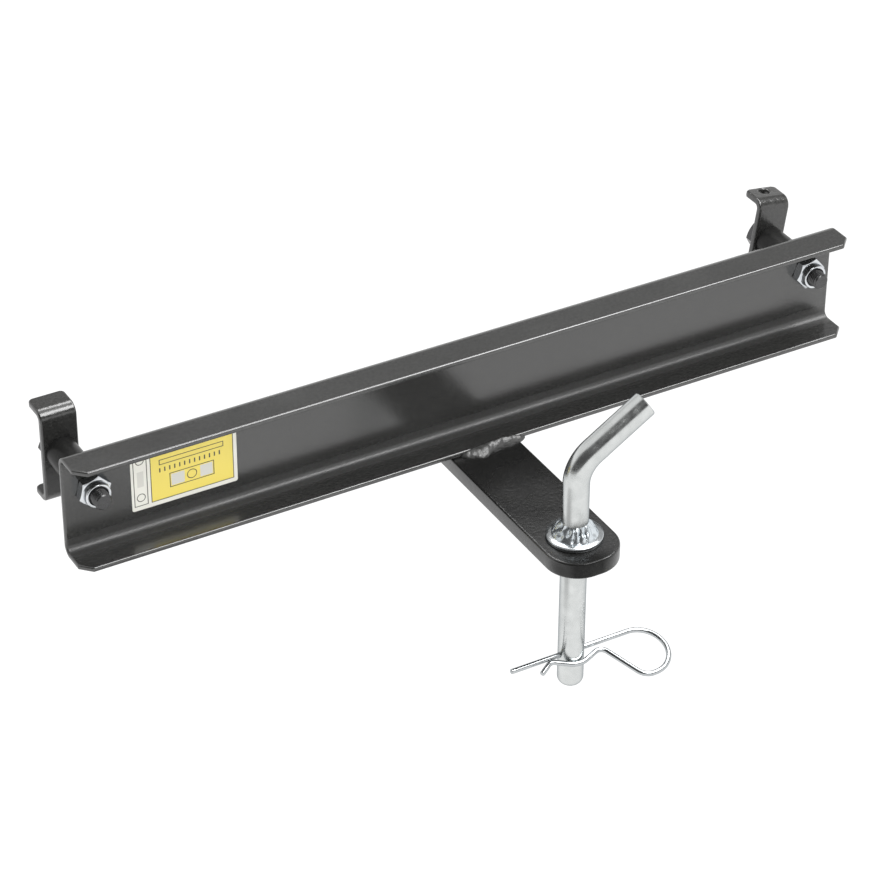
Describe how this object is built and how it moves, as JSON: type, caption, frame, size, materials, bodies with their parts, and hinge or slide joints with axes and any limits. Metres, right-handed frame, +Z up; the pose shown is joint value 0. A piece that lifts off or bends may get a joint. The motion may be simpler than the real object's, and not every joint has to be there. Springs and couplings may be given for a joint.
{
  "type": "mower tow hitch",
  "caption": "Steel channel beam that clamps behind a garden mower, with a welded tongue, a bent hitch pin and a spring clip for a small trailer.",
  "frame": {"origin": "back face of the beam's web, halfway along the beam and level with the bolt axes", "axes": "+X along the beam to the right as seen from behind the mower, +Y towards the mower, +Z up"},
  "size_m": [0.5, 0.2088, 0.1804],
  "materials": {
    "black_coat": "glossy black powder coat",
    "zinc": "blue zinc plate",
    "bright_zinc": "bright zinc plate",
    "black_oxide": "black bolt finish",
    "nylon": "moulded nylon",
    "label": "printed vinyl film"
  },
  "bodies": {
    "hitch_frame": {"beam": "black_coat", "tongue": "black_coat", "weld_front": "black_coat", "weld_back": "black_coat", "label": "label", "spacer_left": "black_coat", "spacer_right": "black_coat", "bolt_left": "black_oxide", "bolt_right": "black_oxide", "nut_left": "zinc", "nut_right": "zinc", "nut_insert_left": "nylon", "nut_insert_right": "nylon"},
    "left_bracket": {"bracket_left": "black_coat"},
    "right_bracket": {"bracket_right": "black_coat"},
    "pin": {"hitch_pin": "bright_zinc", "pin_collar": "zinc", "pin_weld": "zinc"},
    "clip": {"hairpin_clip": "bright_zinc"}
  },
  "joints": [
    {"name": "bracket_left_swivel", "type": "hinge", "parent": "hitch_frame", "child": "left_bracket", "pos_m": [-0.233, 0.0387, 0], "axis": [0, 1, 0], "continuous": true},
    {"name": "bracket_right_swivel", "type": "hinge", "parent": "hitch_frame", "child": "right_bracket", "pos_m": [0.233, 0.0387, 0], "axis": [0, 1, 0], "continuous": true},
    {"name": "pin_lift", "type": "slide", "parent": "hitch_frame", "child": "pin", "axis": [0, 0, 1], "range_m": [0, 0.067]},
    {"name": "clip_pull", "type": "slide", "parent": "pin", "child": "clip", "axis": [1, 0, 0], "range_m": [0, 0.05], "deforming": ["hairpin_clip"]}
  ]
}
